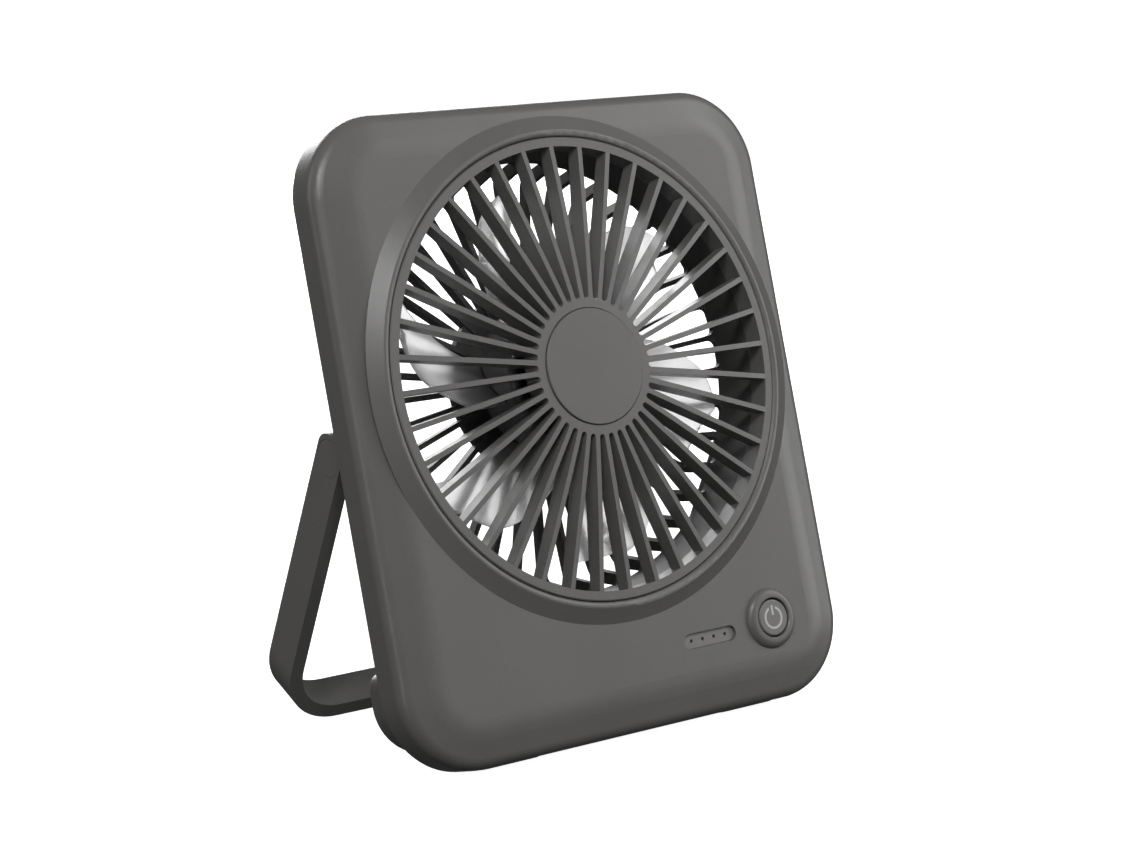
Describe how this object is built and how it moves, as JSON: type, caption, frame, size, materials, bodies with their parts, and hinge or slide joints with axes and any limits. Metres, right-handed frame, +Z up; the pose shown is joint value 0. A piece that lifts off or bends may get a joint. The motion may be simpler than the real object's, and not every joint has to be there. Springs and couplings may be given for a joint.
{
  "type": "desk fan",
  "caption": "Rechargeable desk fan in a flat rounded case with a round ribbed grille, power button, indicator lights and a folding U-shaped stand.",
  "frame": {"origin": "centre of the standing fan's bounding box, on the floor that its case and stand rest on", "axes": "+Z up, -Y the way the air blows and the grille faces, +X to the right seen from the front"},
  "size_m": [0.1758, 0.0952, 0.1989],
  "materials": {
    "case": "satin, fine grain",
    "stand": "satin, fine grain",
    "inner_black": "matt",
    "button": "satin",
    "symbol": "translucent, gloss",
    "blade": "semi-gloss",
    "steel": "turned",
    "core": "laminated",
    "copper": "enamelled wire",
    "magnet": "matt",
    "cell_wrap": "shrink wrap",
    "nickel": "nickel",
    "board": "solder resist",
    "chip": "matt",
    "led": "clear resin",
    "rubber": "matt"
  },
  "bodies": {
    "housing": {"front_shell": "case", "rear_housing": "case", "front_grille": "case", "grille_hub_cap": "case", "air_duct": "inner_black", "rear_cage": "inner_black", "indicator_window": "case", "bearings": "steel", "pivot_pin_left": "steel", "pivot_pin_right": "steel", "friction_washer_left": "steel", "friction_washer_right": "steel", "case_screws": "steel", "motor_screws": "steel", "stator_core": "core", "stator_windings": "copper", "motor_base": "inner_black", "battery_cells": "cell_wrap", "battery_tabs": "nickel", "battery_tray": "inner_black", "control_board": "board", "board_chips": "chip", "tact_switch": "chip", "indicator_leds": "led", "usb_socket": "nickel", "body_pads": "rubber"},
    "rotor": {"impeller": "blade", "impeller_nut": "steel", "rotor_yoke": "steel", "magnet_ring": "magnet", "motor_shaft": "steel"},
    "stand": {"stand": "stand", "stand_pads": "rubber", "pivot_cap_left": "stand", "pivot_cap_right": "stand"},
    "button": {"power_button": "button", "power_symbol": "symbol", "switch_plunger": "inner_black"}
  },
  "joints": [
    {"name": "fan_spin", "type": "hinge", "parent": "housing", "child": "rotor", "pos_m": [0, -0.01867, 0.11761], "axis": [0, 0.9559, -0.2937], "continuous": true},
    {"name": "stand_fold", "type": "hinge", "parent": "housing", "child": "stand", "pos_m": [0, 0.00162, 0.09579], "axis": [1, 0, 0], "range_deg": [-40.2, 0]},
    {"name": "power_button_press", "type": "slide", "parent": "housing", "child": "button", "axis": [0, 0.9559, -0.2937], "range_m": [0, 0.0006], "stiffness_N_per_m": 2500}
  ]
}
